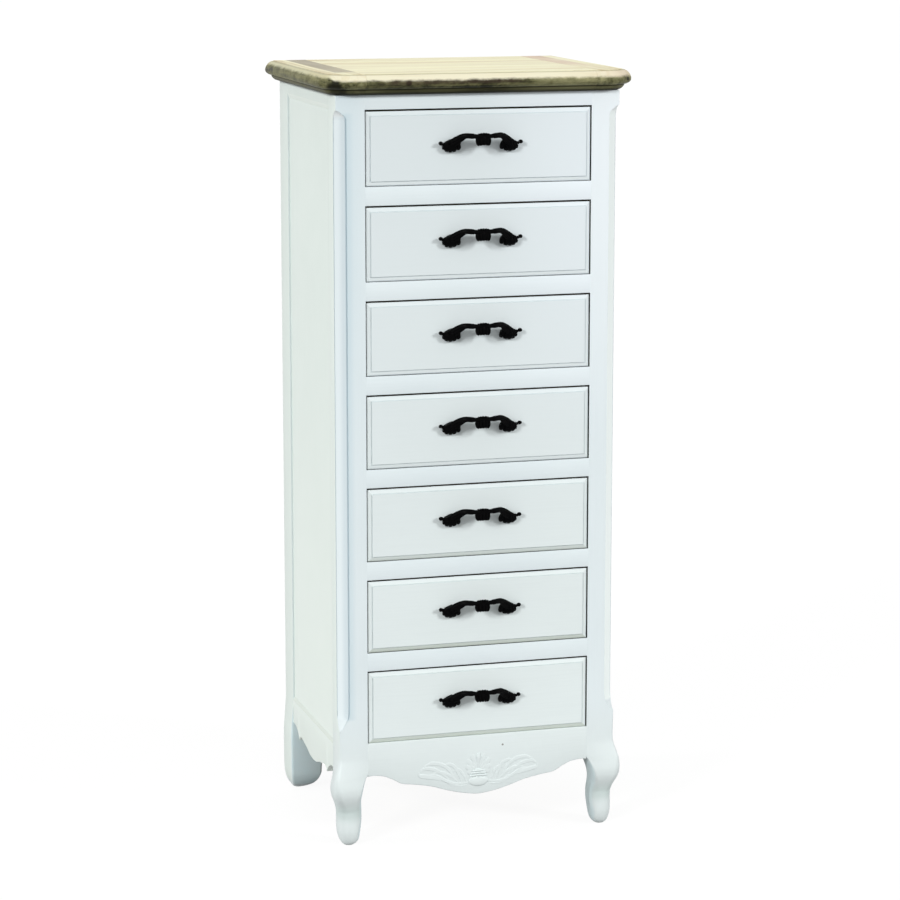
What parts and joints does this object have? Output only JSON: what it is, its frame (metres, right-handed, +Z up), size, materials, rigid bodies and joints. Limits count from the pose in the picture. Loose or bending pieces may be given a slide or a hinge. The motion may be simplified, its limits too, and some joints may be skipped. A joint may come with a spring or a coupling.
{
  "type": "semainier",
  "caption": "Tall narrow white chest of drawers on cabriole front legs, with a clipped-corner weathered wooden top and dark cast arched pulls.",
  "frame": {"origin": "on the floor, under the middle of the whole chest's box, pulls included", "axes": "+X to the right as seen from the front, +Y towards the back, +Z up; the drawers open towards -Y"},
  "size_m": [0.496, 0.4028, 1.205],
  "materials": {
    "white_paint": "satin white paint on wood",
    "weathered_wood": "weathered, dark at the moulded edge",
    "pale_wood": "pale open-grained planks, matte",
    "antique_iron": "near-black antique casting with a soft sheen",
    "bare_wood": "unpainted inside wood"
  },
  "bodies": {
    "case": {"front_left_post": "white_paint", "rear_left_post": "white_paint", "left_side_panel": "white_paint", "left_side_apron": "white_paint", "left_top_rail": "white_paint", "front_right_post": "white_paint", "rear_right_post": "white_paint", "right_side_panel": "white_paint", "right_side_apron": "white_paint", "right_top_rail": "white_paint", "front_top_rail": "white_paint", "front_apron": "white_paint", "apron_carving": "white_paint", "divider_1": "white_paint", "divider_2": "white_paint", "divider_3": "white_paint", "divider_4": "white_paint", "divider_5": "white_paint", "divider_6": "white_paint", "back_panel": "bare_wood", "runner_1": "bare_wood", "runner_2": "bare_wood", "runner_3": "bare_wood", "runner_4": "bare_wood", "runner_5": "bare_wood", "runner_6": "bare_wood", "runner_7": "bare_wood", "top_front_board": "weathered_wood", "top_back_board": "weathered_wood", "top_left_board": "weathered_wood", "top_right_board": "weathered_wood", "top_plank_panel": "pale_wood"},
    "drawer_1": {"drawer_1_front": "white_paint", "drawer_1_box": "bare_wood", "drawer_1_bottom": "bare_wood", "drawer_1_pull": "antique_iron"},
    "drawer_2": {"drawer_2_front": "white_paint", "drawer_2_box": "bare_wood", "drawer_2_bottom": "bare_wood", "drawer_2_pull": "antique_iron"},
    "drawer_3": {"drawer_3_front": "white_paint", "drawer_3_box": "bare_wood", "drawer_3_bottom": "bare_wood", "drawer_3_pull": "antique_iron"},
    "drawer_4": {"drawer_4_front": "white_paint", "drawer_4_box": "bare_wood", "drawer_4_bottom": "bare_wood", "drawer_4_pull": "antique_iron"},
    "drawer_5": {"drawer_5_front": "white_paint", "drawer_5_box": "bare_wood", "drawer_5_bottom": "bare_wood", "drawer_5_pull": "antique_iron"},
    "drawer_6": {"drawer_6_front": "white_paint", "drawer_6_box": "bare_wood", "drawer_6_bottom": "bare_wood", "drawer_6_pull": "antique_iron"},
    "drawer_7": {"drawer_7_front": "white_paint", "drawer_7_box": "bare_wood", "drawer_7_bottom": "bare_wood", "drawer_7_pull": "antique_iron"}
  },
  "joints": [
    {"name": "drawer_1_slide", "type": "slide", "parent": "case", "child": "drawer_1", "axis": [0, -1, 0], "range_m": [0, 0.24]},
    {"name": "drawer_2_slide", "type": "slide", "parent": "case", "child": "drawer_2", "axis": [0, -1, 0], "range_m": [0, 0.24]},
    {"name": "drawer_3_slide", "type": "slide", "parent": "case", "child": "drawer_3", "axis": [0, -1, 0], "range_m": [0, 0.24]},
    {"name": "drawer_4_slide", "type": "slide", "parent": "case", "child": "drawer_4", "axis": [0, -1, 0], "range_m": [0, 0.24]},
    {"name": "drawer_5_slide", "type": "slide", "parent": "case", "child": "drawer_5", "axis": [0, -1, 0], "range_m": [0, 0.24]},
    {"name": "drawer_6_slide", "type": "slide", "parent": "case", "child": "drawer_6", "axis": [0, -1, 0], "range_m": [0, 0.24]},
    {"name": "drawer_7_slide", "type": "slide", "parent": "case", "child": "drawer_7", "axis": [0, -1, 0], "range_m": [0, 0.24]}
  ]
}
